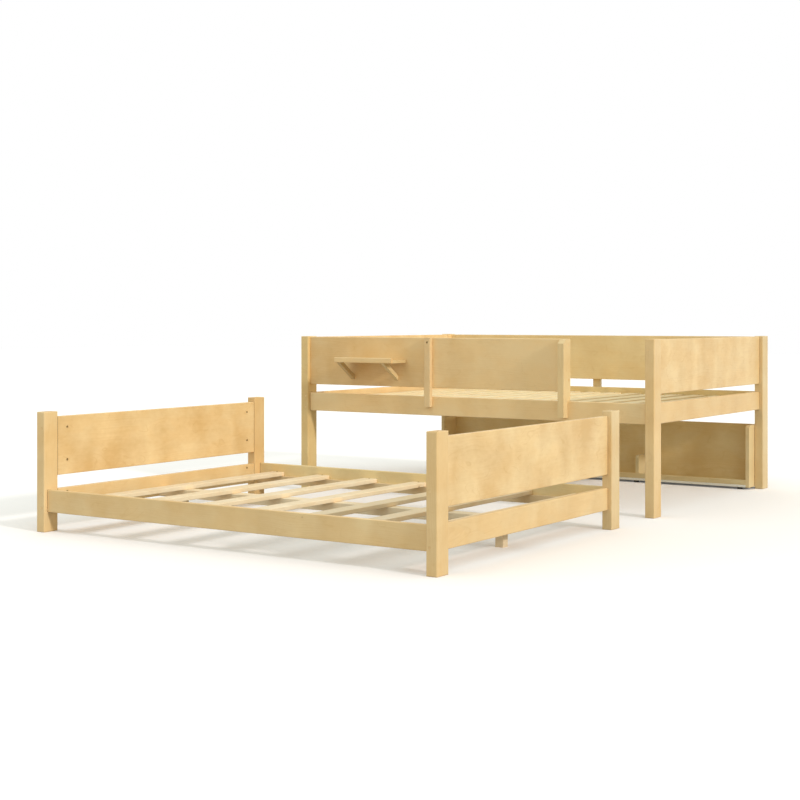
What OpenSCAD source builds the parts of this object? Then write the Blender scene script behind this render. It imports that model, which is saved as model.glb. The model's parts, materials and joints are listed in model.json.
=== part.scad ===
// Low bunk bed taken apart into two beds that stand side by side: a low bed in front and
// a half-height loft bed behind it, with guard panels, a small bracket shelf and a low tray.
// X runs along the beds with the foot end at +X, Y runs towards the wall, Z is up.
// The origin lies on the floor, at the centre of the whole footprint.

/* [Both beds] */
// Length over the posts
bed_len = 2020; // [1900:10:2150]
// Width over the posts
bed_wid = 1480; // [1000:10:1700]
// Free space between the two beds
bed_gap = 363; // [200:1:900]

/* [Posts] */
// Post size along the bed
post_t = 47; // [45:1:70]
// Post size across the bed
post_w = 78; // [60:1:100]
// Height of the low bed's posts
low_post_h = 511; // [480:1:620]
// Height of the loft bed's posts
loft_post_h = 816; // [790:1:960]
// Radius on the posts' upright edges
post_round = 5; // [2:0.5:9]
// Bevel round the posts' ends
post_bevel = 2.5; // [1:0.5:5]
// Diameter of the stacking pin hole
pin_d = 12; // [8:0.5:16]
// Depth of the stacking pin hole
pin_depth = 50; // [20:1:60]

/* [Rails] */
// Thickness of a side rail
rail_t = 20; // [18:0.5:26]
// Height of the side and cross rails
rail_h = 95; // [90:1:130]
// Rail face set back from the post face
rail_inset = 17; // [10:0.5:22]
// Rail top to the end panels on the low bed
low_panel_gap = 57; // [30:1:90]
// Rail top to the end panels on the loft bed
loft_panel_gap = 42; // [20:1:70]
// Radius on the long edges of rails and panels
edge_round = 3.5; // [1:0.5:6]
// Radius on the long edges of ledgers, beams, shelf and tray boards
fine_round = 1.5; // [0.5:0.5:3]
// Length of a stub tenon
tenon_len = 12; // [8:0.5:14]
// Height of a stub tenon
tenon_h = 40; // [20:1:44]
// Thickness of a stub tenon
tenon_t = 10; // [6:0.5:12]

/* [End panels] */
// Thickness of the end panels and cross rails
panel_t = 25; // [22:0.5:30]
// Height of an end panel
panel_h = 252; // [200:1:270]
// End panel face set back from the post face
panel_inset = 19; // [14:0.5:20]
// Post top to panel top on the low bed
low_panel_drop = 22; // [10:1:40]
// Post top to panel and guard top on the loft bed
loft_panel_drop = 3; // [3:1:30]

/* [Slats and their carriers] */
// Number of slats on the low bed
low_slat_count = 7; // [5:1:12]
// Number of slats on the loft bed
loft_slat_count = 15; // [9:1:17]
// Width of a slat
slat_w = 76; // [60:1:100]
// Thickness of a slat
slat_t = 19; // [15:0.5:24]
// End panel to the first slat on the low bed
low_slat_margin = 83; // [30:1:120]
// End panel to the first slat on the loft bed
loft_slat_margin = 39; // [20:1:120]
// Rail top to slat top on the low bed
low_slat_drop = 38; // [25:0.5:38]
// Rail top to slat top on the loft bed
loft_slat_drop = 29; // [10:0.5:38]
// Play at a slat's ends
slat_play = 1; // [0.5:0.5:3]
// Thickness of a ledger strip
ledger_t = 20; // [16:0.5:30]
// Height of a ledger strip
ledger_h = 38; // [25:0.5:38]
// Width of the centre beam
beam_w = 64; // [40:1:90]
// Height of the centre beam
beam_h = 38; // [25:0.5:38]
// Depth of the beam's pocket in a cross rail
beam_pocket = 12; // [6:0.5:15]
// Number of floor legs under the low beam
leg_count = 3; // [2:1:5]
// Side of a floor leg
leg_side = 38; // [30:1:60]
// End panel to the middle of an outer leg
leg_in = 121; // [60:1:300]

/* [Guards] */
// Thickness of a guard panel
guard_t = 25; // [22:0.5:30]
// Height of a guard panel
guard_h = 250; // [200:1:270]
// Width of the front stile
front_stile_w = 36; // [30:1:60]
// Width of the back stile
back_stile_w = 45; // [30:1:60]
// Thickness of the front and back stiles
stile_t = 25; // [18:0.5:30]
// How far a flat stile runs down over the rail
stile_lap = 52; // [30:1:80]
// Head post to the middle of the front stile
stile_from_head = 751; // [640:1:1100]
// Clear way between the ladder stile and the foot post
ladder_way = 403; // [340:1:500]
// Width of the ladder stile
ladder_stile_w = 31; // [28:1:45]
// Ladder stile in front of the rail face
ladder_stile_front = 40; // [30:1:60]
// Ladder stile behind the guard's inner face
ladder_cover = 6; // [0:1:20]
// How far the ladder stile runs down over the rail
ladder_stile_lap = 78; // [40:1:88]
// Height of the bevel on top of the ladder stile
ladder_bevel_h = 22; // [10:1:40]
// Depth of the bevel on top of the ladder stile
ladder_bevel_d = 26; // [10:1:45]

/* [Shelf] */
// Length of the shelf
shelf_len = 350; // [250:1:370]
// Depth of the shelf from the guard
shelf_depth = 140; // [100:1:180]
// Thickness of the shelf board
shelf_t = 13; // [10:0.5:20]
// Guard top to shelf board
shelf_drop = 115; // [60:1:140]
// Head post to the shelf
shelf_from_head = 261; // [100:1:280]
// Thickness of the shelf's front lip
shelf_lip_t = 18; // [10:0.5:24]
// Height of the shelf's front lip
shelf_lip_h = 26; // [22:0.5:50]
// Side of a bracket's square strip
bracket_t = 20; // [15:0.5:26]
// Shelf front to the tip of a bracket
bracket_set_back = 6; // [2:1:30]
// Height of a bracket under the shelf
bracket_h = 91; // [60:1:105]
// Head end of the shelf to the first bracket
bracket_in_head = 10; // [0:1:80]
// Foot end of the shelf to the second bracket
bracket_in_foot = 48; // [0:1:80]

/* [Wall tray] */
// Play between the tray unit and the back posts
tray_play = 0.5; // [0.2:0.1:0.9]
// Depth of the tray unit
tray_depth = 155; // [110:1:200]
// Top of the tray unit above the floor
tray_top = 341; // [250:1:370]
// Free space left behind the tray unit
tray_wall_gap = 2; // [0:0.5:20]
// Thickness of the back, end and divider boards
tray_board_t = 19; // [15:0.5:22]
// Thickness of the bottom board
tray_bottom_t = 13; // [9:0.5:19]
// Height of the front lip
tray_lip_h = 26; // [12:0.5:60]
// Thickness of the front lip
tray_lip_t = 16; // [10:0.5:22]
// Radius on the front top corner of the end boards
tray_round = 18; // [5:0.5:40]
// Head end of the tray to the divider
divider_from_head = 1264; // [300:1:1400]
// Top of the divider above the floor
divider_top = 150; // [100:1:200]
// Diameter of a glide
glide_d = 28; // [16:1:32]
// Height of a glide
glide_h = 12; // [6:0.5:20]
// Number of glides along the tray
glide_count = 4; // [2:1:6]
// Tray end to the first glide
glide_in = 60; // [30:1:200]

/* [Bolts] */
// Diameter of a frame bolt
bolt_d = 6; // [5:0.5:8]
// Diameter of a bolt head
head_d = 11; // [10:0.5:16]
// Height of a bolt head
head_h = 5; // [4:0.5:7]
// Bolt head below the wood
head_sunk = 2; // [1:0.5:4]
// Hexagon key size across the flats
key_size = 5; // [3:0.5:6]
// Depth of the key socket
key_depth = 3; // [1:0.5:4]
// Diameter of a barrel nut
nut_d = 11; // [10:0.5:14]
// Length of a barrel nut
nut_len = 18; // [12:0.5:20]
// Length of the insert nut behind the front stile
insert_len = 13; // [8:0.5:18]
// End grain to the middle of a barrel nut
nut_in = 57; // [30:1:70]
// Bolt tip past the middle of its nut
bolt_past = 8; // [6:0.5:12]
// Play round bolts, nuts and tenons
bore_play = 0.3; // [0.2:0.1:0.6]
// Panel top to the upper bolt
panel_bolt_top = 48; // [40:1:60]
// Panel bottom to the lower bolt
panel_bolt_low = 63; // [35:1:80]
// Rail edge to a cross rail bolt
rail_bolt_in = 18; // [15:0.5:20]
// Guard top to the upper ladder stile bolt
guard_bolt_top = 29; // [25:1:60]
// Guard bottom to the lower ladder stile bolt
guard_bolt_low = 55; // [25:1:80]
// Guard top to the bolt of the front stile
stile_bolt_top = 23; // [15:1:60]

/* [Hidden] */
$fn = 32;

// Colours of the oiled frame wood, the paler bare wood, the hardware and the glides
frame_wood = "#EDCB94";
bare_wood = "#F1DBB2";
hardware = "#B79B68";
glide_plastic = "#3A3532";

// Overshoot that carries a cut clear of a surface
past = 1;

// The back stile stands this far behind the posts
back_out = max(0, stile_t - rail_inset);
total_wid = 2 * bed_wid + bed_gap + back_out;
low_y = (bed_wid - total_wid) / 2;
loft_y = total_wid / 2 - back_out - bed_wid / 2;

// Inner faces of the posts, seen from the middle of a bed
inner_x = bed_len / 2 - post_t;
inner_y = bed_wid / 2 - post_w;
// Outer and inner face of a side rail, and the middle of an end panel
rail_out_y = bed_wid / 2 - rail_inset;
rail_in_y = rail_out_y - rail_t;
end_x = bed_len / 2 - panel_inset - panel_t / 2;
end_in_x = end_x - panel_t / 2;

// Levels that the parts of each bed share, from the post tops down
low_panel_z = low_post_h - low_panel_drop - panel_h;
low_rail_top = low_panel_z - low_panel_gap;
low_rail_z = low_rail_top - rail_h;
low_slat_z = low_rail_top - low_slat_drop - slat_t;
guard_top = loft_post_h - loft_panel_drop;
guard_z = guard_top - guard_h;
loft_panel_z = guard_top - panel_h;
loft_rail_top = loft_panel_z - loft_panel_gap;
loft_rail_z = loft_rail_top - rail_h;
loft_slat_z = loft_rail_top - loft_slat_drop - slat_t;

// Slats reach from rail to rail, less their play
slat_len = 2 * (rail_in_y - slat_play);

// Ladder stile and front guard, measured along the bed
ladder_x = inner_x - ladder_way - ladder_stile_w / 2;
guard_end_x = ladder_x - ladder_stile_w / 2;
stile_x = stile_from_head - inner_x;
guard_mid_y = rail_out_y - guard_t / 2;

// Shelf, measured from the head post and the guard face
shelf_x = shelf_from_head - inner_x + shelf_len / 2;
shelf_z = guard_top - shelf_drop - shelf_t;

// A bracket is a strip mitred to the shelf's underside and the guard's face
bracket_reach = shelf_depth - bracket_set_back;
bracket_slope = atan2(bracket_h, bracket_reach);

// Tray unit, standing between the back posts
tray_end_x = inner_x - tray_play;
tray_back_y = bed_wid / 2 - tray_wall_gap;
tray_front_y = tray_back_y - tray_depth;
tray_floor = glide_h + tray_bottom_t;
tray_in_y = tray_back_y - tray_board_t;
tray_in_len = 2 * (tray_end_x - tray_board_t);

// Bores with their play
bolt_bore = bolt_d + 2 * bore_play;
head_bore = head_d + 2 * bore_play;
nut_bore = nut_d + 2 * bore_play;
head_seat = head_sunk + head_h;
nut_recess = (panel_t + nut_len) / 2;

// Heights of the end bolts of each bed
function end_bolts(rail_z, panel_z) = [
    rail_z + rail_bolt_in,
    rail_z + rail_h - rail_bolt_in,
    panel_z + panel_bolt_low,
    panel_z + panel_h - panel_bolt_top
];
low_bolt_z = end_bolts(low_rail_z, low_panel_z);
loft_bolt_z = end_bolts(loft_rail_z, loft_panel_z);
guard_bolt_z = [guard_z + guard_bolt_low, guard_top - guard_bolt_top];
stile_bolt_z = guard_top - stile_bolt_top;

module at_low() {
    translate([0, low_y, 0]) children();
}

module at_loft() {
    translate([0, loft_y, 0]) children();
}

// Turns what is drawn for the head end and the near side to any corner of a bed
module corner(end, side) {
    mirror([end > 0 ? 1 : 0, 0, 0])
        mirror([0, side > 0 ? 1 : 0, 0])
            children();
}

module rounded_outline(w, h, r) {
    square([w - 2 * r, h], center = true);
    square([w, h - 2 * r], center = true);
    for (i = [-1, 1], j = [-1, 1])
        translate([i * (w / 2 - r), j * (h / 2 - r)])
            circle(r);
}

// Boards with eased long edges, centred, named after the way their grain runs
module board_x(len, w, h, r = edge_round) {
    rotate([90, 0, 90])
        linear_extrude(len, center = true)
            rounded_outline(w, h, r);
}

module board_y(len, w, h) {
    rotate([90, 0, 0])
        linear_extrude(len, center = true)
            rounded_outline(w, h, edge_round);
}

module board_z(len, w, h) {
    linear_extrude(len, center = true)
        rounded_outline(w, h, edge_round);
}

// Bore along Y that starts at the origin and runs towards +Y
module bore_y(d, len) {
    rotate([-90, 0, 0])
        translate([0, 0, -past])
            cylinder(d = d, h = len + past);
}

// Side view of a post, with bevelled ends
module bevelled_side(w, h) {
    polygon([
        [-w / 2 + post_bevel, 0], [w / 2 - post_bevel, 0],
        [w / 2, post_bevel], [w / 2, h - post_bevel],
        [w / 2 - post_bevel, h], [-w / 2 + post_bevel, h],
        [-w / 2, h - post_bevel], [-w / 2, post_bevel]
    ]);
}

module post_blank(h) {
    intersection() {
        linear_extrude(h)
            rounded_outline(post_t, post_w, post_round);
        rotate([90, 0, 0])
            linear_extrude(2 * post_w, center = true)
                bevelled_side(post_t, h);
        rotate([90, 0, 90])
            linear_extrude(2 * post_t, center = true)
                bevelled_side(post_w, h);
    }
}

// Socket for a stub tenon in the inner face of a post
module mortise(y, z) {
    translate([-inner_x - tenon_len - bore_play, -y - tenon_t / 2 - bore_play, z - tenon_h / 2 - bore_play])
        cube([tenon_len + bore_play + past, tenon_t + 2 * bore_play, tenon_h + 2 * bore_play]);
}

// Post of the head end and the near side; pin_z is the end that carries the stacking pin
module bed_post(h, bolt_z, rail_z, pin_z, guarded) {
    difference() {
        translate([post_t / 2 - bed_len / 2, post_w / 2 - bed_wid / 2, 0])
            post_blank(h);
        for (z = bolt_z)
            translate([-end_x, -bed_wid / 2, z]) {
                bore_y(bolt_bore, post_w + past);
                bore_y(head_bore, head_seat);
            }
        mortise(rail_out_y - rail_t / 2, rail_z + rail_h / 2);
        if (guarded)
            mortise(guard_mid_y, (guard_z + guard_top) / 2);
        translate([post_t / 2 - bed_len / 2, post_w / 2 - bed_wid / 2, pin_z])
            cylinder(d = pin_d, h = 2 * pin_depth, center = true);
    }
}

module low_post(end, side) {
    color(frame_wood) at_low() corner(end, side)
        bed_post(low_post_h, low_bolt_z, low_rail_z, low_post_h, false);
}

module loft_post(end, side, guarded) {
    color(frame_wood) at_loft() corner(end, side)
        bed_post(loft_post_h, loft_bolt_z, loft_rail_z, 0, guarded);
}

// Bolt bores in the end grain and nut bores in the inner face, for boards at the head end
module end_board_bores(bolt_z) {
    for (side = [-1, 1])
        mirror([0, side > 0 ? 1 : 0, 0])
            for (z = bolt_z) {
                translate([-end_x, -inner_y, z])
                    bore_y(bolt_bore, nut_in + bolt_past + bore_play);
                translate([-end_in_x - nut_recess, nut_in - inner_y, z])
                    rotate([0, 90, 0])
                        cylinder(d = nut_bore, h = nut_recess + past);
            }
}

module end_panel(end, z, bolt_z) {
    corner(end, -1)
        difference() {
            translate([-end_x, 0, z + panel_h / 2])
                board_y(2 * inner_y, panel_t, panel_h);
            end_board_bores(bolt_z);
        }
}

// Cross rail with the pocket that holds the end of the centre beam
module cross_rail(end, z, beam_z, bolt_z) {
    pocket_z = beam_z > z ? beam_z : z - past;
    corner(end, -1)
        difference() {
            translate([-end_x, 0, z + rail_h / 2])
                board_y(2 * inner_y, panel_t, rail_h);
            end_board_bores(bolt_z);
            translate([-end_in_x - beam_pocket - bore_play, -beam_w / 2 - bore_play, pocket_z])
                cube([
                    beam_pocket + bore_play + past,
                    beam_w + 2 * bore_play,
                    beam_z + beam_h + bore_play - pocket_z
                ]);
        }
}

// Board along the bed that stands on its edge, with stub tenons at the named ends
module tenoned_board(x0, x1, t, h, y, z, ends) {
    translate([(x0 + x1) / 2, y, z + h / 2])
        board_x(x1 - x0, t, h);
    for (end = ends)
        translate([end > 0 ? x1 : x0 - tenon_len, y - tenon_t / 2, z + h / 2 - tenon_h / 2])
            cube([tenon_len, tenon_t, tenon_h]);
}

module side_rail(side, z) {
    tenoned_board(-inner_x, inner_x, rail_t, rail_h, side * (rail_out_y - rail_t / 2), z, [-1, 1]);
}

module ledger(side, slat_z) {
    translate([0, side * (rail_in_y - ledger_t / 2), slat_z - ledger_h / 2])
        board_x(2 * inner_x, ledger_t, ledger_h, fine_round);
}

module center_beam(slat_z) {
    translate([0, 0, slat_z - beam_h / 2])
        board_x(2 * (end_in_x + beam_pocket), beam_w, beam_h, fine_round);
}

// Slats at an even pitch between the end panels
module slats(count, margin, slat_z) {
    span = 2 * (end_in_x - margin) - slat_w;
    for (i = [0 : count - 1])
        translate([i * span / (count - 1) - span / 2, 0, slat_z + slat_t / 2])
            board_y(slat_len, slat_w, slat_t);
}

// Socket-head bolt along +Y, with its head seat at the origin
module bolt(len) {
    rotate([-90, 0, 0])
        difference() {
            union() {
                translate([0, 0, -head_h])
                    cylinder(d = head_d, h = head_h);
                cylinder(d = bolt_d, h = len);
            }
            translate([0, 0, -head_h - past])
                cylinder(d = key_size / cos(30), h = key_depth + past, $fn = 6);
        }
}

// Barrel nut along X, cross-bored along Y for its bolt
module barrel_nut() {
    difference() {
        rotate([0, 90, 0])
            cylinder(d = nut_d, h = nut_len, center = true);
        rotate([90, 0, 0])
            cylinder(d = bolt_bore, h = nut_d + 2 * past, center = true);
    }
}

module end_bolt_set(bolt_z) {
    for (end = [-1, 1], side = [-1, 1], z = bolt_z)
        corner(end, side)
            translate([-end_x, head_seat - bed_wid / 2, z])
                bolt(post_w - head_seat + nut_in + bolt_past);
}

module end_nut_set(bolt_z) {
    for (end = [-1, 1], side = [-1, 1], z = bolt_z)
        corner(end, side)
            translate([-end_x, nut_in - inner_y, z])
                barrel_nut();
}

module low_legs() {
    span = 2 * (end_in_x - leg_in);
    color(bare_wood) at_low()
        for (i = [0 : leg_count - 1])
            translate([i * span / (leg_count - 1) - span / 2, 0, (low_slat_z - beam_h) / 2])
                board_z(low_slat_z - beam_h, leg_side, leg_side);
}

// Pocket for a nut, bored into the bed side of the front guard
module guard_pocket(x, z, depth) {
    translate([x, guard_t - rail_out_y, z])
        mirror([0, 1, 0])
            bore_y(nut_bore, depth);
}

// Front guard with the bores for the ladder stile's bolts and the front stile's bolt
module loft_front_guard() {
    color(frame_wood) at_loft()
        difference() {
            tenoned_board(-inner_x, guard_end_x, guard_t, guard_h, -guard_mid_y, guard_z, [-1]);
            for (z = guard_bolt_z) {
                translate([guard_end_x, -guard_mid_y, z])
                    rotate([0, 0, 90])
                        bore_y(bolt_bore, nut_in + bolt_past + bore_play);
                guard_pocket(guard_end_x - nut_in, z, (guard_t + nut_len) / 2);
            }
            translate([stile_x, -rail_out_y, stile_bolt_z])
                bore_y(bolt_bore, guard_t + past);
            guard_pocket(stile_x, stile_bolt_z, insert_len);
        }
}

module loft_back_guard() {
    color(frame_wood) at_loft()
        tenoned_board(-inner_x, inner_x, guard_t, guard_h, guard_mid_y, guard_z, [-1, 1]);
}

// Flat stile in front of a guard and rail, drawn on the near side
module flat_stile(x, w) {
    bottom = loft_rail_top - stile_lap;
    translate([x, -rail_out_y - stile_t / 2, (bottom + guard_top) / 2])
        board_z(guard_top - bottom, w, stile_t);
}

module front_stile() {
    color(frame_wood) at_loft()
        difference() {
            flat_stile(stile_x, front_stile_w);
            translate([stile_x, -rail_out_y - stile_t, stile_bolt_z]) {
                bore_y(bolt_bore, stile_t + past);
                bore_y(head_bore, head_seat);
            }
        }
}

module back_stile() {
    color(frame_wood) at_loft() corner(-1, 1)
        flat_stile(0, back_stile_w);
}

// Ladder stile, notched over the rail, behind the guard's end and bevelled on top
module ladder_stile() {
    back = guard_t + ladder_cover;
    color(frame_wood) at_loft()
        difference() {
            translate([ladder_x, -rail_out_y, 0])
                rotate([90, 0, 90])
                    linear_extrude(ladder_stile_w, center = true)
                        polygon([
                            [-ladder_stile_front, loft_rail_top - ladder_stile_lap],
                            [0, loft_rail_top - ladder_stile_lap],
                            [0, loft_rail_top],
                            [back, loft_rail_top],
                            [back, guard_top],
                            [ladder_bevel_d - ladder_stile_front, guard_top],
                            [-ladder_stile_front, guard_top - ladder_bevel_h]
                        ]);
            for (z = guard_bolt_z)
                translate([ladder_x + ladder_stile_w / 2, -guard_mid_y, z])
                    rotate([0, 0, 90]) {
                        bore_y(bolt_bore, ladder_stile_w + past);
                        bore_y(head_bore, head_seat);
                    }
        }
}

module guard_bolts() {
    color(hardware) at_loft() {
        for (z = guard_bolt_z)
            translate([ladder_x + ladder_stile_w / 2 - head_seat, -guard_mid_y, z])
                rotate([0, 0, 90])
                    bolt(ladder_stile_w - head_seat + nut_in + bolt_past);
        translate([stile_x, head_seat - rail_out_y - stile_t, stile_bolt_z])
            bolt(stile_t + guard_t - head_seat);
    }
}

// Barrel nuts of the ladder stile's bolts and the insert nut of the front stile's bolt
module guard_nuts() {
    color(hardware) at_loft() {
        for (z = guard_bolt_z)
            translate([guard_end_x - nut_in, -guard_mid_y, z])
                rotate([0, 0, 90])
                    barrel_nut();
        translate([stile_x, guard_t - rail_out_y, stile_bolt_z])
            rotate([90, 0, 0])
                difference() {
                    cylinder(d = nut_d, h = insert_len);
                    translate([0, 0, -past])
                        cylinder(d = bolt_bore, h = insert_len + 2 * past);
                }
    }
}

module shelf_board() {
    depth = shelf_depth - shelf_lip_t;
    color(frame_wood) at_loft()
        translate([shelf_x, -rail_out_y - depth / 2, shelf_z + shelf_t / 2])
            board_x(shelf_len, depth, shelf_t, fine_round);
}

module shelf_lip() {
    color(frame_wood) at_loft()
        translate([shelf_x, -rail_out_y - shelf_depth + shelf_lip_t / 2, shelf_z + shelf_lip_h / 2])
            board_x(shelf_len, shelf_lip_t, shelf_lip_h);
}

// Side view of a bracket, from the corner of the shelf's underside and the guard's face
module bracket_outline() {
    polygon([
        [-bracket_reach, 0],
        [0, -bracket_h],
        [0, bracket_t / cos(bracket_slope) - bracket_h],
        [bracket_t / sin(bracket_slope) - bracket_reach, 0]
    ]);
}

module shelf_bracket(x) {
    color(frame_wood) at_loft()
        translate([x, -rail_out_y, shelf_z])
            rotate([90, 0, 90])
                linear_extrude(bracket_t, center = true)
                    bracket_outline();
}

module tray_back() {
    color(frame_wood) at_loft()
        translate([0, tray_in_y + tray_board_t / 2, (glide_h + tray_top) / 2])
            board_x(2 * tray_end_x, tray_board_t, tray_top - glide_h, fine_round);
}

module tray_bottom() {
    color(bare_wood) at_loft()
        translate([0, (tray_front_y + tray_in_y) / 2, glide_h + tray_bottom_t / 2])
            board_x(tray_in_len, tray_in_y - tray_front_y, tray_bottom_t, fine_round);
}

module tray_lip() {
    color(frame_wood) at_loft()
        translate([0, tray_front_y + tray_lip_t / 2, tray_floor + tray_lip_h / 2])
            board_x(tray_in_len, tray_lip_t, tray_lip_h, fine_round);
}

// Upright board across the tray, with a round front top corner
module tray_upright(x, front, bottom, top) {
    depth = tray_in_y - front;
    color(frame_wood) at_loft()
        translate([x, front, bottom])
            rotate([90, 0, 90])
                linear_extrude(tray_board_t) {
                    translate([tray_round, top - bottom - tray_round])
                        circle(tray_round);
                    square([depth, top - bottom - tray_round]);
                    translate([tray_round, 0])
                        square([depth - tray_round, top - bottom]);
                }
}

module tray_divider() {
    tray_upright(
        divider_from_head - tray_end_x,
        tray_front_y + tray_lip_t,
        tray_floor,
        divider_top
    );
}

module tray_glides() {
    span = 2 * (tray_end_x - glide_in);
    color(glide_plastic) at_loft()
        for (i = [0 : glide_count - 1], y = [tray_front_y + glide_d, tray_in_y - glide_d])
            translate([i * span / (glide_count - 1) - span / 2, y, 0])
                cylinder(d = glide_d, h = glide_h);
}

low_post(-1, -1);  // low_post_head_near
low_post(-1, 1);  // low_post_head_far
low_post(1, -1);  // low_post_foot_near
low_post(1, 1);  // low_post_foot_far
color(frame_wood) at_low() end_panel(-1, low_panel_z, low_bolt_z);  // low_head_panel
color(frame_wood) at_low() end_panel(1, low_panel_z, low_bolt_z);  // low_foot_panel
color(frame_wood) at_low() cross_rail(-1, low_rail_z, low_slat_z - beam_h, low_bolt_z);  // low_head_rail
color(frame_wood) at_low() cross_rail(1, low_rail_z, low_slat_z - beam_h, low_bolt_z);  // low_foot_rail
color(frame_wood) at_low() side_rail(-1, low_rail_z);  // low_side_rail_near
color(frame_wood) at_low() side_rail(1, low_rail_z);  // low_side_rail_far
color(bare_wood) at_low() ledger(-1, low_slat_z);  // low_ledger_near
color(bare_wood) at_low() ledger(1, low_slat_z);  // low_ledger_far
color(bare_wood) at_low() center_beam(low_slat_z);  // low_center_beam
low_legs();
color(bare_wood) at_low() slats(low_slat_count, low_slat_margin, low_slat_z);  // low_slats
color(hardware) at_low() end_bolt_set(low_bolt_z);  // low_bolts
color(hardware) at_low() end_nut_set(low_bolt_z);  // low_barrel_nuts
loft_post(-1, -1, true);  // loft_post_head_near
loft_post(-1, 1, true);  // loft_post_head_far
loft_post(1, -1, false);  // loft_post_foot_near
loft_post(1, 1, true);  // loft_post_foot_far
color(frame_wood) at_loft() end_panel(-1, loft_panel_z, loft_bolt_z);  // loft_head_panel
color(frame_wood) at_loft() end_panel(1, loft_panel_z, loft_bolt_z);  // loft_foot_panel
color(frame_wood) at_loft() cross_rail(-1, loft_rail_z, loft_slat_z - beam_h, loft_bolt_z);  // loft_head_rail
color(frame_wood) at_loft() cross_rail(1, loft_rail_z, loft_slat_z - beam_h, loft_bolt_z);  // loft_foot_rail
color(frame_wood) at_loft() side_rail(-1, loft_rail_z);  // loft_front_rail
color(frame_wood) at_loft() side_rail(1, loft_rail_z);  // loft_back_rail
color(bare_wood) at_loft() ledger(-1, loft_slat_z);  // loft_ledger_front
color(bare_wood) at_loft() ledger(1, loft_slat_z);  // loft_ledger_back
color(bare_wood) at_loft() center_beam(loft_slat_z);  // loft_center_beam
color(bare_wood) at_loft() slats(loft_slat_count, loft_slat_margin, loft_slat_z);  // loft_slats
color(hardware) at_loft() end_bolt_set(loft_bolt_z);  // loft_bolts
color(hardware) at_loft() end_nut_set(loft_bolt_z);  // loft_barrel_nuts
loft_front_guard();
loft_back_guard();
front_stile();
back_stile();
ladder_stile();
guard_bolts();
guard_nuts();
shelf_board();
shelf_lip();
shelf_bracket(shelf_x - shelf_len / 2 + bracket_in_head + bracket_t / 2);  // shelf_bracket_head
shelf_bracket(shelf_x + shelf_len / 2 - bracket_in_foot - bracket_t / 2);  // shelf_bracket_foot
tray_back();
tray_bottom();
tray_lip();
tray_upright(-tray_end_x, tray_front_y, glide_h, tray_top);  // tray_end_head
tray_upright(tray_end_x - tray_board_t, tray_front_y, glide_h, tray_top);  // tray_end_foot
tray_divider();
tray_glides();
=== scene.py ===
import json
import math
import random

import bmesh
import bpy
from mathutils import Matrix, Vector


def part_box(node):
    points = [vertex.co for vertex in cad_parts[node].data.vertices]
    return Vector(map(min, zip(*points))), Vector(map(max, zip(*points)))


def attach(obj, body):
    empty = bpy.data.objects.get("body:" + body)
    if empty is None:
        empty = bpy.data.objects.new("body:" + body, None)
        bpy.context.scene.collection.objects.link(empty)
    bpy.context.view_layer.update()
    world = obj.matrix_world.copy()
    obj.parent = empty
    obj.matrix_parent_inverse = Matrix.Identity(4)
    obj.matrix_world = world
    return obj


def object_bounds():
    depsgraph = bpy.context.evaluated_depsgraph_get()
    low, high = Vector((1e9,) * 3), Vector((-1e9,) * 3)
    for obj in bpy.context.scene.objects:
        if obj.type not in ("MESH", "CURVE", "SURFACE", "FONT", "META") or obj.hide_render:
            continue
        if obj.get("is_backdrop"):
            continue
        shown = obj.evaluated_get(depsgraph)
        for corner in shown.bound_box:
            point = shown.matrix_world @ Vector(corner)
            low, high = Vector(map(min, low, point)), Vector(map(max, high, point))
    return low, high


# Finish, screws, bolt covers, floor, light and camera for the bunk bed. Sizes are in metres,
# apart from the screw heads' and covers' own, which are in millimetres.
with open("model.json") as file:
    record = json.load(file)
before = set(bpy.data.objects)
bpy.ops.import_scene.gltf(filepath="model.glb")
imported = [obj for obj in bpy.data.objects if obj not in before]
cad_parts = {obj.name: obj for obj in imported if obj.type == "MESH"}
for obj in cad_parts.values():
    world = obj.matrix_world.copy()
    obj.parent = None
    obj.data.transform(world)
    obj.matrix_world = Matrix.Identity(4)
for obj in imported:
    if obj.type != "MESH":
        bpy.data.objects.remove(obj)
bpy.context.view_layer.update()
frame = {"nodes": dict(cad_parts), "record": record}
scene = bpy.context.scene
nodes = frame["nodes"]

# The photograph's camera, fitted to corners of posts and rails: level, with its view shifted down.
# The turn is in radians
CAMERA_PLACE = (3.7782, -6.039, 0.9054)
CAMERA_TURN = 0.5894
SENSOR = 36.0
LENS = 66.48
SHIFT_DOWN = 0.1009

# Key light at the foot end: where its light travels, read from the shadows' edges
KEY_WAY = (-0.905, 0.141, -0.402)
KEY_STRENGTH = 1.46
KEY_SOFTNESS = math.radians(5)
KEY_COLOR = (1.0, 0.975, 0.975)
# Soft light of the surroundings: even, and more from above and from the front. The lights' colours
# and strengths were fitted to mean colours in the photograph and then adjusted
SKY_EVEN = (0.570, 0.540, 0.430)
SKY_ABOVE = (0.350, 0.460, 0.540)
SKY_FRONT = (0.144, 0.189, 0.265)

# Wood colours, linear
FRAME_LIGHT = (0.910, 0.665, 0.345)
FRAME_DARK = (0.740, 0.480, 0.205)
BARE_LIGHT = (0.930, 0.775, 0.545)
BARE_DARK = (0.780, 0.580, 0.330)
# The pale pair is a painted highlight, given to the tray's bottom board
PALE_LIGHT = (0.960, 0.915, 0.790)
PALE_DARK = (0.880, 0.810, 0.660)
KNOT = (0.300, 0.150, 0.055)
# Factors on these colours: warmer clouds, the painted shade where boards meet, and end grain
WARMER = (1.0, 0.955, 0.880)
JOINT_SHADE = (0.25, 0.16, 0.09)
END_GRAIN = (0.80, 0.72, 0.62)
# Other surfaces
YELLOW_ZINC = (0.40, 0.29, 0.14)
DARK_PLASTIC = (0.045, 0.042, 0.040)
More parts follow.
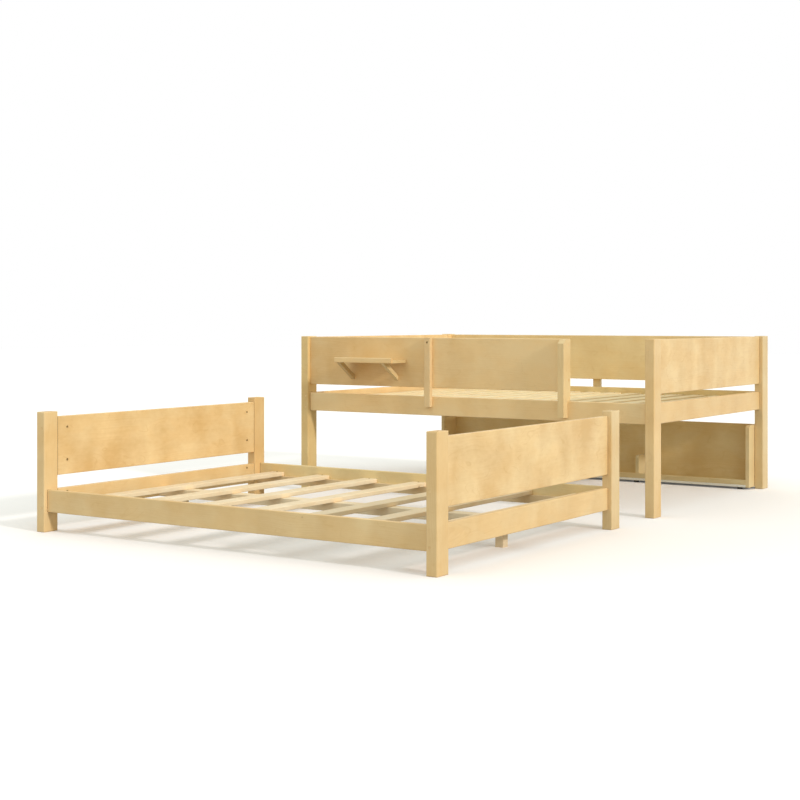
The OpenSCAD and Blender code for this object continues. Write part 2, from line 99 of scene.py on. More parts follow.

# Shades and tints of single boards, set from the ratio of the photograph's mean colour to
# the render's on each board. So they take up differences of light as well as of wood, and under
# other light like boards may differ. A shade above 0 is darker
# Painted shade: the far ledger, the tray's back and the tray's head end are darker where shade
# falls on them
BOARD_SHADES = {"loft_front_rail": -0.30, "loft_back_guard": -0.05, "loft_foot_panel": 0.05,
                "loft_foot_rail": 0.28, "low_post_foot_near": 0.16, "loft_post_foot_near": 0.12,
                "loft_post_head_near": 0.10, "loft_front_guard": 0.05, "low_head_panel": 0.22,
                "low_foot_panel": 0.14, "low_foot_rail": 0.12, "low_head_rail": 0.08,
                "low_ledger_far": 0.70, "low_post_head_far": 0.40, "low_post_foot_far": 0.20,
                "low_post_head_near": 0.15, "shelf_board": 0.15, "tray_back": 0.35,
                "tray_end_head": 0.60}
# A tint is a factor on a board's colour. Most paint in a difference of bounced light, and the
# shelf's head bracket's is painted shade
BOARD_TINTS = {"tray_back": (0.96, 1.03, 1.01), "loft_back_guard": (0.95, 1.01, 1.03),
               "loft_back_rail": (0.93, 1.02, 1.00), "loft_slats": (0.98, 0.98, 0.86),
               "loft_post_foot_far": (0.90, 0.95, 1.00), "loft_post_head_near": (0.96, 0.99, 0.92),
               "low_side_rail_far": (0.96, 1.08, 1.16), "low_post_foot_far": (0.95, 1.00, 1.07),
               "back_stile": (0.88, 0.97, 1.06), "front_stile": (0.94, 0.96, 1.02),
               "ladder_stile": (0.95, 1.01, 1.06), "shelf_board": (0.94, 1.05, 1.14),
               "shelf_bracket_head": (0.76, 0.79, 0.82), "shelf_bracket_foot": (0.90, 0.97, 1.02),
               "tray_divider": (0.87, 1.00, 1.14), "tray_end_head": (0.88, 0.94, 0.95),
               "tray_end_foot": (0.93, 0.99, 1.04), "tray_lip": (0.88, 0.96, 1.00)}
PLAIN_TINT = (1.0, 1.0, 1.0)
# Change of shade for each metre towards the foot end. The front guard's is painted shade: it
# darkens the guard towards its head end
BOARD_SLOPES = {"loft_front_guard": -0.65}
# How much the clouds and loops of figure show, and the covers' shade
PANEL_FIGURE = 1.35
BOARD_FIGURE = 0.75
CAP_SHADE = 0.12
# Half length of a board whose ends show no painted shade line: more than any board has
NO_JOINT_SHADE = 10.0

AXES = "xyz"
GRAIN_SEEDS = random.Random(11)
SEED_RANGE = 10.0


class Graph:
    """Short calls that build one node tree."""

    def __init__(self, tree):
        self.tree = tree
        tree.nodes.clear()

    def add(self, kind, **settings):
        node = self.tree.nodes.new(kind)
        for key, value in settings.items():
            setattr(node, key, value)
        return node

    def put(self, socket, value):
        if isinstance(value, bpy.types.NodeSocket):
            self.tree.links.new(value, socket)
        else:
            socket.default_value = value

    def math(self, operation, *values, clamp=False):
        node = self.add("ShaderNodeMath", operation=operation, use_clamp=clamp)
        for socket, value in zip(node.inputs, values):
            self.put(socket, value)
        return node.outputs[0]

    def vector(self, operation, *values):
        node = self.add("ShaderNodeVectorMath", operation=operation)
        for socket, value in zip(node.inputs, values):
            self.put(socket, value)
        return node.outputs["Value" if operation == "LENGTH" else "Vector"]

    def combine(self, x, y, z):
        node = self.add("ShaderNodeCombineXYZ")
        for socket, value in zip(node.inputs, (x, y, z)):
            self.put(socket, value)
        return node.outputs[0]

    def split(self, vector):
        node = self.add("ShaderNodeSeparateXYZ")
        self.put(node.inputs[0], vector)
        return list(node.outputs)

    def place(self):
        return self.add("ShaderNodeTexCoord").outputs["Object"]

    def own(self, name, output="Fac"):
        """A value that each object carries for itself."""
        node = self.add("ShaderNodeAttribute", attribute_type="OBJECT", attribute_name=name)
        return node.outputs[output]

    def noise(self, vector, scale=1.0, detail=2.0, roughness=0.5):
        node = self.add("ShaderNodeTexNoise", noise_dimensions="3D")
        self.put(node.inputs["Vector"], vector)
        self.put(node.inputs["Scale"], scale)
        self.put(node.inputs["Detail"], detail)
        self.put(node.inputs["Roughness"], roughness)
        return node.outputs["Fac"]

    def smooth(self, value, low, high, to_low=0.0, to_high=1.0):
        node = self.add("ShaderNodeMapRange", interpolation_type="SMOOTHSTEP")
        for name, item in (("Value", value), ("From Min", low), ("From Max", high),
                           ("To Min", to_low), ("To Max", to_high)):
            self.put(node.inputs[name], item)
        return node.outputs["Result"]

    def mix(self, factor, a, b, blend="MIX"):
        """The mix node has several sockets of one name, so the colour ones go by identifier."""
        node = self.add("ShaderNodeMix", data_type="RGBA", blend_type=blend)
        sockets = {s.identifier: s for s in node.inputs}
        self.put(sockets["Factor_Float"], factor)
        for key, value in (("A_Color", a), ("B_Color", b)):
            self.put(sockets[key], (*value, 1.0) if isinstance(value, tuple) else value)
        return {s.identifier: s for s in node.outputs}["Result_Color"]

    def bump(self, height, strength, distance):
        node = self.add("ShaderNodeBump")
        node.inputs["Strength"].default_value = strength
        node.inputs["Distance"].default_value = distance
        self.put(node.inputs["Height"], height)
        return node.outputs[0]

    def surface(self, shader, kind="ShaderNodeOutputMaterial"):
        self.put(self.add(kind).inputs["Surface"], shader)


def new_material(name):
    material = bpy.data.materials.new(name)
    material.use_nodes = True
    return material, Graph(material.node_tree)


# The wood's pattern, in metres. A scale is a pair, along the grain and across it, in waves to
# the metre. An edge is a pair too: where a feature starts, and where it is full. A step moves
# boards along the log or slats to other seeds, and a draw is a factor on the seed
LOG_STEP, SLAT_STEP = 7.31, 1.37
SIDE_DRAW, DEPTH_DRAW, SHADE_DRAW = 12.9, 78.2, 41.3
PITH_SIDE, PITH_DEPTH, PITH_DEPTH_SPREAD = 0.050, 0.085, 0.025
LEAN = 0.02
WANDER, WANDER_REACH = (2.2, 7.0), 0.060
FINE_WANDER, FINE_WANDER_REACH = (9.0, 30.0), 0.006
RING_WIDTH, RING_CHANGE, RING_CHANGE_SCALE = 0.0085, 2.6, 45.0
RING_RISE, RING_FALL = (0.40, 0.93), (1.0, 0.94)
CLEARNESS, CLEARNESS_EDGE, CLEARNESS_LEAST = (3.1, 6.0), (0.35, 0.68), 0.15
KNOT_CELLS, KNOT_STRETCH, KNOT_RARITY = (2.1, 6.0), 1.5, 0.62
KNOT_SIZE, KNOT_SIZE_SPREAD, KNOT_EDGE = 0.0018, 0.0035, (1.15, 0.7)
KNOT_REACH, KNOT_BEND = 0.026, 0.012
FIBRES, PORES, PORE_EDGE = (7.0, 520.0), (55.0, 1150.0), (0.66, 0.76)
BEND, BEND_REACH = (7.0, 9.0), 0.10
BANDS, CLOUDS, MOTTLE = (7.0, 2.2), (4.6, 7.0), (38.0, 60.0)
LOOPS, LOOP_LEVELS, LOOP_EDGE = (5.0, 9.0), 9.0, (0.10, 0.0)
LOOP_PLACES, LOOP_PLACES_EDGE = (11.0, 17.0), (0.52, 0.62)
WARM_CLOUDS, WARM_EDGE = (5.7, 9.0), (0.38, 0.62)
JOINT_SHADE_EDGE, END_EDGE = (0.0040, 0.0015), (0.75, 0.95)
# How much each of these adds to the tone, which runs from the light colour at 0 to the dark at 1
EVEN_TONE, LATE_TONE, FIBRE_TONE, PORE_TONE, HALO_TONE = 0.30, 0.14, 0.32, 0.14, 0.22
BAND_TONE, CLOUD_TONE, MOTTLE_TONE, LOOP_TONE, DRAWN_TONE = 1.35, 1.1, 0.35, 0.22, 0.06
# How much of each colour factor shows
WARM_SHARE, KNOT_SHARE, JOINT_SHADE_SHARE, END_SHARE = 0.75, 0.5, 0.8, 0.55
# Roughness and relief
FIBRE_ROUGH, LATE_ROUGH, END_ROUGH = 0.16, -0.05, 0.2
LATE_RELIEF, FIBRE_RELIEF, PORE_RELIEF, KNOT_RELIEF = 0.35, 0.65, 0.8, 0.6
FRAME_POLISH, WOOD_BUMP, WOOD_SPECULAR = 0.42, 0.35, 0.35
# The distance that a whole step of relief stands for, on wood and plastic
BUMP_HEIGHT = 0.0002


def scaled(g, place, scale):
    return g.vector("MULTIPLY", place, (scale[0], scale[1], scale[1]))


def around_zero(g, place, scale):
    """Noise that strays to both sides of 0."""
    return g.math("SUBTRACT", g.noise(scaled(g, place, scale)), 0.5)


def draw(g, seed, factor):
    """A number between -1 and 1 that each board draws from its seed."""
    return g.math("SINE", g.math("MULTIPLY", seed, factor))


def grain_place(g, axis, pitch):
    """Coordinates with X along the grain, from the board's middle, and a seed for each board.
    With a pitch, the boards of one object lie side by side along its X."""
    x, y, z = g.split(g.vector("SUBTRACT", g.place(), g.own("board_middle", "Vector")))
    seed = g.own("board_seed")
    if pitch:
        index = g.math("ROUND", g.math("DIVIDE", x, pitch))
        x = g.math("SUBTRACT", x, g.math("MULTIPLY", index, pitch))
        seed = g.math("ADD", seed, g.math("MULTIPLY", index, SLAT_STEP))
    order = {"x": (x, y, z), "y": (y, z, x), "z": (z, x, y)}[axis]
    return order, seed


def knots(g, log_place):
    """Knots in a sparse cell pattern: their dark cores, and the halo in which the rings bend."""
    cell_place = scaled(g, log_place, KNOT_CELLS)
    cells = g.add("ShaderNodeTexVoronoi", voronoi_dimensions="3D", feature="F1",
                  distance="EUCLIDEAN")
    g.put(cells.inputs["Vector"], cell_place)
    g.put(cells.inputs["Scale"], 1.0)
    g.put(cells.inputs["Randomness"], 1.0)
    x, y, z = g.split(g.vector("SUBTRACT", cell_place, cells.outputs["Position"]))
    to_knot = g.vector("LENGTH", g.combine(g.math("DIVIDE", x, KNOT_CELLS[0] * KNOT_STRETCH),
                                           g.math("DIVIDE", y, KNOT_CELLS[1]),
                                           g.math("DIVIDE", z, KNOT_CELLS[1])))
    chance, size_pick, _ = g.split(cells.outputs["Color"])
    is_knot = g.math("GREATER_THAN", chance, KNOT_RARITY)
    size = g.math("MULTIPLY_ADD", size_pick, KNOT_SIZE_SPREAD, KNOT_SIZE)
    core = g.math("MULTIPLY", is_knot, g.smooth(g.math("DIVIDE", to_knot, size), *KNOT_EDGE))
    halo = g.math("MULTIPLY", is_knot, g.smooth(to_knot, KNOT_REACH, 0.0))
    return core, halo


def late_wood(g, board_place, seed, log_place, knot_halo):
    """The dark part of growth rings round a pith beside the board, so that its faces show
    arches. The grain wanders, and every board is cut elsewhere from the log."""
    along, side, over = board_place
    across = g.math("ADD", side, g.math("MULTIPLY", draw(g, seed, SIDE_DRAW), PITH_SIDE))
    pith_depth = g.math("MULTIPLY_ADD", draw(g, seed, DEPTH_DRAW), PITH_DEPTH_SPREAD, PITH_DEPTH)
    depth = g.math("ADD", g.math("ADD", over, pith_depth), g.math("MULTIPLY", along, LEAN))
    radius = g.vector("LENGTH", g.combine(across, depth, 0.0))
    for stray, reach in ((around_zero(g, log_place, WANDER), WANDER_REACH),
                         (around_zero(g, log_place, FINE_WANDER), FINE_WANDER_REACH),
                         (knot_halo, KNOT_BEND)):
        radius = g.math("ADD", radius, g.math("MULTIPLY", stray, reach))
    rings = g.math("DIVIDE", radius, RING_WIDTH)
    change = g.noise(g.combine(radius, seed, 0.0), RING_CHANGE_SCALE, detail=1.0)
    phase = g.math("FRACT", g.math("ADD", rings, g.math("MULTIPLY", change, RING_CHANGE)))
    late = g.math("MULTIPLY", g.smooth(phase, *RING_RISE), g.smooth(phase, *RING_FALL))
    clearness = g.noise(scaled(g, log_place, CLEARNESS), detail=1.0)
    return g.math("MULTIPLY", late, g.smooth(clearness, *CLEARNESS_EDGE, CLEARNESS_LEAST, 1.0))


def thin_loops(g, bent, log_place):
    """Thin loops of figure that show here and there."""
    level = g.math("MULTIPLY", g.noise(scaled(g, bent, LOOPS), detail=1.5), LOOP_LEVELS)
    off_line = g.math("ABSOLUTE", g.math("SUBTRACT", g.math("FRACT", level), 0.5))
    places = g.noise(scaled(g, log_place, LOOP_PLACES), detail=1.0)
    return g.math("MULTIPLY", g.smooth(off_line, *LOOP_EDGE), g.smooth(places, *LOOP_PLACES_EDGE))


def wood(name, axis, light, dark, contrast=1.0, pitch=None, polish=FRAME_POLISH):
    """Planed light wood: growth rings, fibres, pores, figure across the grain and small knots.
    The pattern is solid, so that ends show end grain."""
    material, g = new_material(name)
    board_place, seed = grain_place(g, axis, pitch)
    along, side, over = board_place
    log_place = g.combine(g.math("ADD", along, g.math("MULTIPLY", seed, LOG_STEP)), side, over)
    knot_core, knot_halo = knots(g, log_place)
    late = late_wood(g, board_place, seed, log_place, knot_halo)
    fibre = g.noise(scaled(g, log_place, FIBRES), detail=3.0, roughness=0.6)
    fibre_off = g.math("SUBTRACT", fibre, 0.5)
    pore = g.smooth(g.noise(scaled(g, log_place, PORES), detail=1.0), *PORE_EDGE)

    # Soft clouds and bands across the grain, bent so that no edge runs straight
    bend = g.math("MULTIPLY", around_zero(g, log_place, BEND), BEND_REACH)
    bent = g.vector("ADD", log_place, g.combine(bend, 0.0, 0.0))
    figures = ((g.noise(scaled(g, bent, BANDS), detail=1.0, roughness=0.4), BAND_TONE),
               (g.noise(scaled(g, bent, CLOUDS), detail=3.0), CLOUD_TONE),
               (g.noise(scaled(g, log_place, MOTTLE)), MOTTLE_TONE))
    figure = g.own("board_figure")
    figure_share = g.math("MULTIPLY", figure, contrast)
    loop_share = g.math("MULTIPLY", figure, LOOP_TONE)

    tone = g.math("MULTIPLY_ADD", late, LATE_TONE * contrast, EVEN_TONE)
    tone = g.math("ADD", tone, g.math("MULTIPLY", thin_loops(g, bent, log_place), loop_share))
    tone = g.math("ADD", tone, g.math("MULTIPLY", fibre_off, FIBRE_TONE * contrast))
    for value, amount in figures:
        shift = g.math("MULTIPLY", g.math("SUBTRACT", value, 0.5), amount)
        tone = g.math("ADD", tone, g.math("MULTIPLY", shift, figure_share))
    # Each board's shade, slope and tint from the tables: partly the wood's own tone, partly painted
    # shade and light
    shade = g.math("MULTIPLY_ADD", along, g.own("board_slope"), g.own("board_shade"))
    drawn = g.math("MULTIPLY", draw(g, seed, SHADE_DRAW), DRAWN_TONE)
    tone = g.math("ADD", tone, g.math("ADD", shade, drawn))
    tone = g.math("ADD", tone, g.math("MULTIPLY", pore, PORE_TONE))
    tone = g.math("ADD", tone, g.math("MULTIPLY", knot_halo, HALO_TONE), clamp=True)

    color = g.mix(tone, light, dark)
    warmth = g.smooth(g.noise(scaled(g, bent, WARM_CLOUDS)), *WARM_EDGE)
    color = g.mix(g.math("MULTIPLY", warmth, WARM_SHARE * contrast), color, WARMER, "MULTIPLY")
    color = g.mix(1.0, color, g.own("board_tint", "Color"), "MULTIPLY")
    color = g.mix(g.math("MULTIPLY", knot_core, KNOT_SHARE), color, KNOT)

    # Painted shade: a thin dark line where a board's eased end meets its neighbour, as shade falls
    # in the groove
    to_end = g.math("SUBTRACT", g.own("board_half"), g.math("ABSOLUTE", along))
    joint_shade = g.math("MULTIPLY", g.smooth(to_end, *JOINT_SHADE_EDGE), JOINT_SHADE_SHARE)
    color = g.mix(joint_shade, color, JOINT_SHADE, "MULTIPLY")

    # End grain drinks more oil and looks a little darker
    normal = g.split(g.add("ShaderNodeNewGeometry").outputs["True Normal"])[AXES.index(axis)]
    end_grain = g.smooth(g.math("ABSOLUTE", normal), *END_EDGE)
    color = g.mix(g.math("MULTIPLY", end_grain, END_SHARE), color, END_GRAIN, "MULTIPLY")

    rough = g.math("ADD", polish, g.math("MULTIPLY", fibre_off, FIBRE_ROUGH))
    rough = g.math("ADD", rough, g.math("MULTIPLY", late, LATE_ROUGH))
    rough = g.math("ADD", rough, g.math("MULTIPLY", end_grain, END_ROUGH), clamp=True)

    relief = g.math("ADD", g.math("MULTIPLY", late, LATE_RELIEF),
                    g.math("MULTIPLY", fibre, FIBRE_RELIEF))
    relief = g.math("SUBTRACT", relief, g.math("MULTIPLY", pore, PORE_RELIEF))
    relief = g.math("SUBTRACT", relief, g.math("MULTIPLY", knot_core, KNOT_RELIEF))

    shader = g.add("ShaderNodeBsdfPrincipled")
    g.put(shader.inputs["Base Color"], color)
    g.put(shader.inputs["Roughness"], rough)
    g.put(shader.inputs["Normal"], g.bump(relief, WOOD_BUMP, BUMP_HEIGHT))
    shader.inputs["Specular IOR Level"].default_value = WOOD_SPECULAR
    g.surface(shader.outputs[0])
    return material


ZINC_BLOTCHES, ZINC_EDGE = 260.0, (0.3, 0.7)
ZINC_DARKER = 0.78
ZINC_ROUGH, ZINC_ROUGH_SPREAD = 0.38, 0.25
PLASTIC_GRAIN = 1400.0
PLASTIC_LIGHTER = 1.3
PLASTIC_ROUGH, PLASTIC_ROUGH_SPREAD = 0.45, 0.2
PLASTIC_BUMP = 0.3


def metal(name, color):
    """Zinc-plated steel with faint blotches in its shine."""
    material, g = new_material(name)
    cloud = g.noise(g.place(), ZINC_BLOTCHES, detail=3.0, roughness=0.6)
    darker = tuple(ZINC_DARKER * c for c in color)
    shader = g.add("ShaderNodeBsdfPrincipled")
    g.put(shader.inputs["Base Color"], g.mix(g.smooth(cloud, *ZINC_EDGE), color, darker))
    g.put(shader.inputs["Roughness"],
          g.math("MULTIPLY_ADD", cloud, ZINC_ROUGH_SPREAD, ZINC_ROUGH))
    shader.inputs["Metallic"].default_value = 1.0
    g.surface(shader.outputs[0])
    return material


def plastic(name, color):
    """Moulded plastic with a fine texture."""
    material, g = new_material(name)
    texture = g.noise(g.place(), PLASTIC_GRAIN)
    lighter = tuple(PLASTIC_LIGHTER * c for c in color)
    shader = g.add("ShaderNodeBsdfPrincipled")
    g.put(shader.inputs["Base Color"], g.mix(texture, color, lighter))
    g.put(shader.inputs["Roughness"],
          g.math("MULTIPLY_ADD", texture, PLASTIC_ROUGH_SPREAD, PLASTIC_ROUGH))
    g.put(shader.inputs["Normal"], g.bump(texture, PLASTIC_BUMP, BUMP_HEIGHT))
    g.surface(shader.outputs[0])
    return material


def node_size(name):
    low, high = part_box(name)
    return high - low


def longest_axis(name):
    size = node_size(name)
    return AXES[max(range(3), key=lambda i: size[i])]


# The slats of a bed lie across it at an even pitch, and each gets a grain of its own
SLAT_COUNTS = {"low_slats": 7, "loft_slats": 15}
SLAT_WIDTH = 0.076


def slat_pitch(name):
    return (node_size(name).x - SLAT_WIDTH) / (SLAT_COUNTS[name] - 1)


def half_length(name):
    """Half of what shows of a board whose two ends stop at the posts' faces."""
    bed = name.split("_")[0]
    if name.endswith(("_panel", "_head_rail", "_foot_rail")):
        return (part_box(bed + "_post_head_far")[0].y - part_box(bed + "_post_head_near")[1].y) / 2
    if "_rail" in name:
        return (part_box(bed + "_post_foot_near")[0].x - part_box(bed + "_post_head_near")[1].x) / 2
    return NO_JOINT_SHADE


def set_board(piece, middle, figure=BOARD_FIGURE, shade=0.0, slope=0.0, half=NO_JOINT_SHADE,
              tint=PLAIN_TINT):
    """What the wood reads from each object: where its grain starts, and how it differs."""
    piece["board_middle"] = [float(c) for c in middle]
    piece["board_seed"] = GRAIN_SEEDS.uniform(0.0, SEED_RANGE)
    piece["board_figure"] = figure
    piece["board_shade"] = shade
    piece["board_slope"] = slope
    piece["board_half"] = half
    piece["board_tint"] = list(tint)


BARE_CONTRAST, BARE_POLISH = 0.9, 0.55
PALE_CONTRAST, PALE_POLISH = 0.5, 0.35
finishes = {
    ("frame_wood", axis): wood("frame_wood_" + axis, axis, FRAME_LIGHT, FRAME_DARK)
    for axis in AXES
}
finishes.update({
    ("bare_wood", axis): wood("bare_wood_" + axis, axis, BARE_LIGHT, BARE_DARK, BARE_CONTRAST,
                              polish=BARE_POLISH)
    for axis in AXES
})
for name in SLAT_COUNTS:
    finishes[name] = wood(name + "_wood", "y", BARE_LIGHT, BARE_DARK, BARE_CONTRAST,
                          slat_pitch(name), BARE_POLISH)
# The photograph shows a pale line along the tray's foot: the front edge of its bottom board
# Its pale wood is a painted highlight: the board's front edge stands in for that bright line
finishes["tray_bottom"] = wood("pale_highlight_board", "x", PALE_LIGHT, PALE_DARK, PALE_CONTRAST,
                               polish=PALE_POLISH)
finishes["hardware"] = metal("yellow_zinc", YELLOW_ZINC)
finishes["glide_plastic"] = plastic("dark_plastic", DARK_PLASTIC)


def pick_finish(name, slot):
    """A node's own finish, its slot's, or its slot's wood with the grain along the node."""
    if name in finishes:
        return finishes[name]
    if slot in finishes:
        return finishes[slot]
    return finishes[(slot, "z" if name == "low_legs" else longest_axis(name))]


slots = {s["node"]: s["material_slot"] for s in frame["record"]["subparts"]}
for name, part in sorted(nodes.items()):
    low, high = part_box(name)
    set_board(part, (low + high) / 2, PANEL_FIGURE if name.endswith("_panel") else BOARD_FIGURE,
              BOARD_SHADES.get(name, 0.0), BOARD_SLOPES.get(name, 0.0), half_length(name),
              BOARD_TINTS.get(name, PLAIN_TINT))
    part.data.materials.clear()
    part.data.materials.append(pick_finish(name, slots[name]))


# Screws that hold the slats, the ledgers and the tray: low pan heads with a cross recess. All
# lengths are in millimetres, and a profile is a row of radii and levels from the seat up
HEAD_PROFILE = ((4.2, 0.0), (4.2, 0.45), (3.95, 0.85), (3.4, 1.15), (2.7, 1.3))
HEAD_SIDES = 24
CROSS_ARM = 1.9
CROSS_HALF = 0.42
CROSS_FLOOR = 0.25
CROSS_TAPER = 0.8
MM = 0.001
SCREW_TURNS = random.Random(5)


def ring(bm, radius, level, sides):
    return [bm.verts.new((radius * math.cos(a), radius * math.sin(a), level))
            for a in (2 * math.pi * i / sides for i in range(sides))]


def wall(bm, lower, upper):
    """The faces between two rings."""
    for i in range(len(lower)):
        j = (i + 1) % len(lower)
        bm.faces.new((lower[i], lower[j], upper[j], upper[i]))


def screw_head(bm, matrix):
    """One head, drawn in millimetres with its seat at the origin and its axis along Z."""
    rings = [ring(bm, radius, level, HEAD_SIDES) for radius, level in HEAD_PROFILE]
    for lower, upper in zip(rings, rings[1:]):
        wall(bm, lower, upper)
    top = HEAD_PROFILE[-1][1]
    outline = []
    for quarter in range(4):
        turn = Matrix.Rotation(quarter * math.pi / 2, 2)
        for corner in ((CROSS_ARM, -CROSS_HALF), (CROSS_ARM, CROSS_HALF),
                       (CROSS_HALF, CROSS_HALF)):
            outline.append(turn @ Vector(corner))
    mouth = [bm.verts.new((*corner, top)) for corner in outline]
    bottom = [bm.verts.new((*(CROSS_TAPER * corner), CROSS_FLOOR)) for corner in outline]
    count = len(outline)
    edges = [bm.edges.get((rings[-1][i], rings[-1][(i + 1) % HEAD_SIDES]))
             for i in range(HEAD_SIDES)]
    edges += [bm.edges.new((mouth[i], mouth[(i + 1) % count])) for i in range(count)]
    bmesh.ops.triangle_fill(bm, edges=edges, use_beauty=True)
    for i in range(count):
        j = (i + 1) % count
        bm.faces.new((mouth[j], mouth[i], bottom[i], bottom[j]))
    bm.faces.new(bottom)
    made = [v for circle in rings for v in circle] + mouth + bottom
    bmesh.ops.transform(bm, matrix=matrix @ Matrix.Scale(MM, 4), verts=made)


def facing(out):
    return Vector(out).to_track_quat("Z", "Y").to_matrix().to_4x4()


def finish_piece(name, bm, finish):
    bmesh.ops.recalc_face_normals(bm, faces=bm.faces)
    mesh = bpy.data.meshes.new(name)
    bm.to_mesh(mesh)
    bm.free()
    mesh.materials.append(finish)
    piece = bpy.data.objects.new(name, mesh)
    scene.collection.objects.link(piece)
    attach(piece, "root")
    return piece


def screws(name, places, out):
    """A group of equal screws whose heads look along the direction out."""
    bm = bmesh.new()
    for place in places:
        turn = Matrix.Rotation(SCREW_TURNS.uniform(0, math.pi / 2), 4, "Z")
        screw_head(bm, Matrix.Translation(place) @ facing(out) @ turn)
    finish_piece(name, bm, finishes["hardware"])


def slat_middles(name):
    low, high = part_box(name)
    return [low.x + SLAT_WIDTH / 2 + i * slat_pitch(name) for i in range(SLAT_COUNTS[name])]


def make_bed_screws(bed, sides):
    """A screw through each slat's ends, and ledger screws between the slats."""
    middles = slat_middles(bed + "_slats")
    slat_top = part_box(bed + "_slats")[1].z
    carriers = [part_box(bed + "_ledger_" + side) for side in sides]
    lines = [(low.y + high.y) / 2 for low, high in carriers]
    screws(bed + "_slat_screws", [(x, y, slat_top) for x in middles for y in lines], (0, 0, 1))
    # The loft's slats lie close, so only every second gap has ledger screws
    gaps = [(a + b) / 2 for a, b in zip(middles, middles[1:])][::2 if bed == "loft" else 1]
    for side, (low, high) in zip(sides, carriers):
        inner, out = (high.y, 1) if low.y + high.y < sum(lines) else (low.y, -1)
        level = (low.z + high.z) / 2
        screws(bed + "_ledger_screws_" + side, [(x, inner, level) for x in gaps], (0, out, 0))


TRAY_SCREWS = 7
TRAY_SCREW_IN = 0.035


def make_tray_screws():
    """Screws through the tray's back into its bottom, its ends and its divider."""
    low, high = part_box("tray_back")
    bottom_low, bottom_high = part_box("tray_bottom")
    level = (bottom_low.z + bottom_high.z) / 2
    step = (bottom_high.x - bottom_low.x - 4 * TRAY_SCREW_IN) / (TRAY_SCREWS - 1)
    places = [(bottom_low.x + 2 * TRAY_SCREW_IN + i * step, high.y, level)
              for i in range(TRAY_SCREWS)]
    for name in ("tray_end_head", "tray_end_foot", "tray_divider"):
        board_low, board_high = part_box(name)
        x = (board_low.x + board_high.x) / 2
        places += [(x, high.y, board_low.z + 2 * TRAY_SCREW_IN),
                   (x, high.y, board_high.z - TRAY_SCREW_IN)]
    screws("tray_screws", places, (0, 1, 0))


# Thin wooden covers that close the bolts' counterbores, just below the wood's surface.
# The profile ends at the cover's middle, in millimetres
CAP_PROFILE = ((5.55, -1.7), (5.55, -0.75), (5.15, -0.35), (0.0, -0.3))
CAP_SIDES = 32
# The bolts' places, as the construction has them
RAIL_BOLT_IN = 0.018
PANEL_BOLT_LOW = 0.063
PANEL_BOLT_TOP = 0.048
GUARD_BOLT_LOW = 0.055
GUARD_BOLT_TOP = 0.029


def cap(bm, matrix):
    """One cover, drawn in millimetres with the wood's surface at level 0 and its axis along Z."""
    rings = [ring(bm, radius, level, CAP_SIDES) for radius, level in CAP_PROFILE[:-1]]
    middle = bm.verts.new((0.0, 0.0, CAP_PROFILE[-1][1]))
    for lower, upper in zip(rings, rings[1:]):
        wall(bm, lower, upper)
    for i in range(CAP_SIDES):
        bm.faces.new((rings[-1][i], rings[-1][(i + 1) % CAP_SIDES], middle))
    bm.faces.new(list(reversed(rings[0])))
    made = [v for circle in rings for v in circle] + [middle]
    bmesh.ops.transform(bm, matrix=matrix @ Matrix.Scale(MM, 4), verts=made)


def caps(name, places_out):
    """A group of covers at given places, each looking along its own direction."""
    bm = bmesh.new()
    for place, out in places_out:
        cap(bm, Matrix.Translation(place) @ facing(out))
    piece = finish_piece(name, bm, finishes[("frame_wood", "z")])
    set_board(piece, (0.0, 0.0, 0.0), shade=CAP_SHADE)


def make_bed_caps(bed):
    """Covers over the end bolts: four on the outer side of each post."""
    posts = [bed + "_post_" + end + "_" + side
             for end in ("head", "foot") for side in ("near", "far")]
    rail_low, rail_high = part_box(bed + "_head_rail")
    panel_low, panel_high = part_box(bed + "_head_panel")
    levels = (rail_low.z + RAIL_BOLT_IN, rail_high.z - RAIL_BOLT_IN,
              panel_low.z + PANEL_BOLT_LOW, panel_high.z - PANEL_BOLT_TOP)
    places = []
    for post in posts:
        low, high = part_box(post)
        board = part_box(bed + ("_head_rail" if "head" in post else "_foot_rail"))
        x = (board[0].x + board[1].x) / 2
        y, out = (low.y, -1) if post.endswith("near") else (high.y, 1)
        places += [((x, y, z), (0, out, 0)) for z in levels]
    caps(bed + "_bolt_caps", places)


def make_guard_caps():
    """Covers over the two bolts that run through the ladder stile into the guard."""
    guard_low, guard_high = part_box("loft_front_guard")
    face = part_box("ladder_stile")[1].x
    y = (guard_low.y + guard_high.y) / 2
    caps("ladder_stile_caps", [((face, y, guard_low.z + GUARD_BOLT_LOW), (1, 0, 0)),
                               ((face, y, guard_high.z - GUARD_BOLT_TOP), (1, 0, 0))])


make_bed_screws("low", ("near", "far"))
make_bed_screws("loft", ("front", "back"))
make_tray_screws()
make_bed_caps("low")
make_bed_caps("loft")
make_guard_caps()


# Floor and surroundings. The floor throws back the light of a middling grey, and looks white
# to the camera and in reflections
FLOOR_SIZE = 60.0
FLOOR_GLOW = 0.05
FLOOR_GLOW_FAR = 0.16
FLOOR_NEAR, FLOOR_FAR = 1.4, 2.8
FLOOR_SEEN = (0.98, 0.93, 0.91)
FLOOR_BOUNCE = (0.45, 0.45, 0.44)


def seen(g):
    """1 for the camera's rays and for those of reflections and glass, and 0 for other light."""
    rays = g.add("ShaderNodeLightPath").outputs
    return g.math("MAXIMUM", rays["Is Camera Ray"],
                  g.math("MAXIMUM", rays["Is Glossy Ray"], rays["Is Transmission Ray"]))


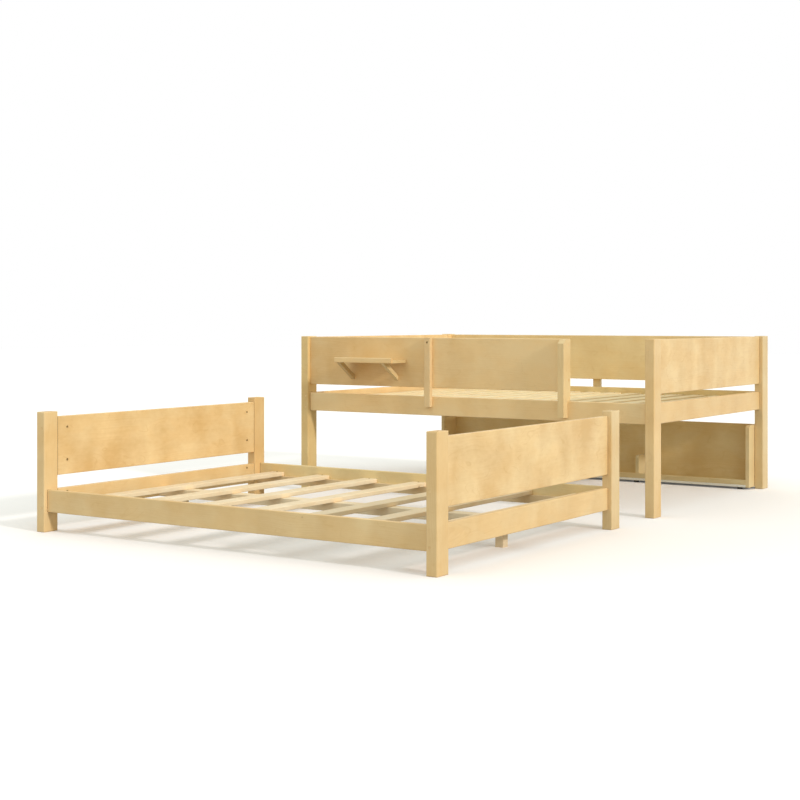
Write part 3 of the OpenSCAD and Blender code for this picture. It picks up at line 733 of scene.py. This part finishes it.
def make_floor():
    bpy.ops.mesh.primitive_plane_add(size=FLOOR_SIZE, location=(0, 0, 0))
    floor = bpy.context.object
    floor.name = "floor"
    material, g = new_material("pale_floor")
    is_seen = seen(g)
    matt = g.add("ShaderNodeBsdfDiffuse")
    g.put(matt.inputs["Color"], g.mix(is_seen, FLOOR_BOUNCE, FLOOR_SEEN))
    # A faint glow, stronger away from the object, keeps the open floor white
    glow = g.add("ShaderNodeEmission")
    away = g.vector("LENGTH", g.place())
    strength = g.smooth(away, FLOOR_NEAR, FLOOR_FAR, FLOOR_GLOW, FLOOR_GLOW_FAR)
    g.put(glow.inputs["Strength"], g.math("MULTIPLY", is_seen, strength))
    total = g.add("ShaderNodeAddShader")
    g.put(total.inputs[0], matt.outputs[0])
    g.put(total.inputs[1], glow.outputs[0])
    g.surface(total.outputs[0])
    floor.data.materials.append(material)
    floor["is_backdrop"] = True


def make_world():
    """A soft coloured sky that lights the object, and plain white where the sky itself shows."""
    world = bpy.data.worlds.new("surroundings")
    scene.world = world
    world.use_nodes = True
    g = Graph(world.node_tree)
    _, y, z = g.split(g.add("ShaderNodeTexCoord").outputs["Generated"])
    light = SKY_EVEN
    for amount, color in ((z, SKY_ABOVE), (g.math("MULTIPLY", y, -1.0), SKY_FRONT)):
        share = g.vector("SCALE", color)
        g.put(share.node.inputs["Scale"], g.math("MAXIMUM", amount, 0.0))
        light = g.vector("ADD", light, share)
    soft = g.add("ShaderNodeBackground")
    g.put(soft.inputs["Color"], light)
    g.put(soft.inputs["Strength"], 1.0)
    white = g.add("ShaderNodeBackground")
    g.put(white.inputs["Color"], (1.0, 1.0, 1.0, 1.0))
    g.put(white.inputs["Strength"], 1.0)
    both = g.add("ShaderNodeMixShader")
    g.put(both.inputs[0], seen(g))
    g.put(both.inputs[1], soft.outputs[0])
    g.put(both.inputs[2], white.outputs[0])
    g.surface(both.outputs[0], "ShaderNodeOutputWorld")


def make_key():
    lamp = bpy.data.lights.new("key", "SUN")
    lamp.energy = KEY_STRENGTH
    lamp.angle = KEY_SOFTNESS
    lamp.color = KEY_COLOR
    key = bpy.data.objects.new("key", lamp)
    key.rotation_mode = "QUATERNION"
    key.rotation_quaternion = Vector(KEY_WAY).to_track_quat("-Z", "Y")
    scene.collection.objects.link(key)


def make_camera():
    data = bpy.data.cameras.new("camera")
    data.sensor_width = SENSOR
    data.lens = LENS
    data.shift_y = -SHIFT_DOWN
    camera = bpy.data.objects.new("camera", data)
    camera.location = CAMERA_PLACE
    camera.rotation_euler = (math.pi / 2, 0.0, CAMERA_TURN)
    scene.collection.objects.link(camera)
    scene.camera = camera


make_floor()
make_world()
make_key()
make_camera()
scene.view_settings.view_transform = "Standard"

low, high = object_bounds()
